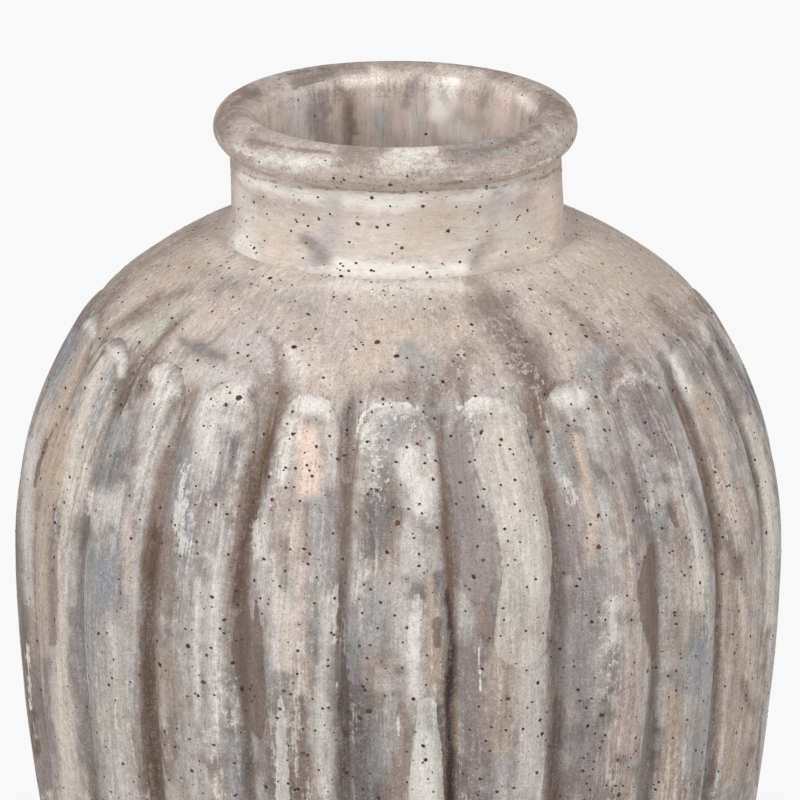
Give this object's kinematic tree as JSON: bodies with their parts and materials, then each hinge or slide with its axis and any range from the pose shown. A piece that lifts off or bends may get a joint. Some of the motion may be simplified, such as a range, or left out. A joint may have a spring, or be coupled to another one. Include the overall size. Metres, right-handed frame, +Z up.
{
  "type": "urn vase",
  "caption": "Large hand-built terracotta urn vase with a lobed body, smooth domed shoulder, short neck and rolled rim, painted in layered chalky washes.",
  "frame": {"origin": "middle of the underside of the base, on the surface that the vase stands on", "axes": "+Z up along the axis of the vase and out of its mouth; -Y towards the side that the picture shows, +X to its right"},
  "size_m": [0.3845, 0.3868, 0.4999],
  "materials": {
    "painted_clay": "matte",
    "bare_clay": "matte"
  },
  "bodies": {
    "root": {"base_slab": "bare_clay", "lower_wall": "painted_clay", "belly_wall": "painted_clay", "shoulder_dome": "painted_clay", "neck_collar": "painted_clay", "rim_roll": "painted_clay", "lobe_01": "painted_clay", "lobe_02": "painted_clay", "lobe_03": "painted_clay", "lobe_04": "painted_clay", "lobe_05": "painted_clay", "lobe_06": "painted_clay", "lobe_07": "painted_clay", "lobe_08": "painted_clay", "lobe_09": "painted_clay", "lobe_10": "painted_clay", "lobe_11": "painted_clay", "lobe_12": "painted_clay", "lobe_13": "painted_clay", "lobe_14": "painted_clay", "lobe_15": "painted_clay", "lobe_16": "painted_clay", "lobe_17": "painted_clay", "lobe_18": "painted_clay", "lobe_19": "painted_clay", "lobe_20": "painted_clay", "lobe_21": "painted_clay", "lobe_22": "painted_clay"}
  },
  "joints": []
}
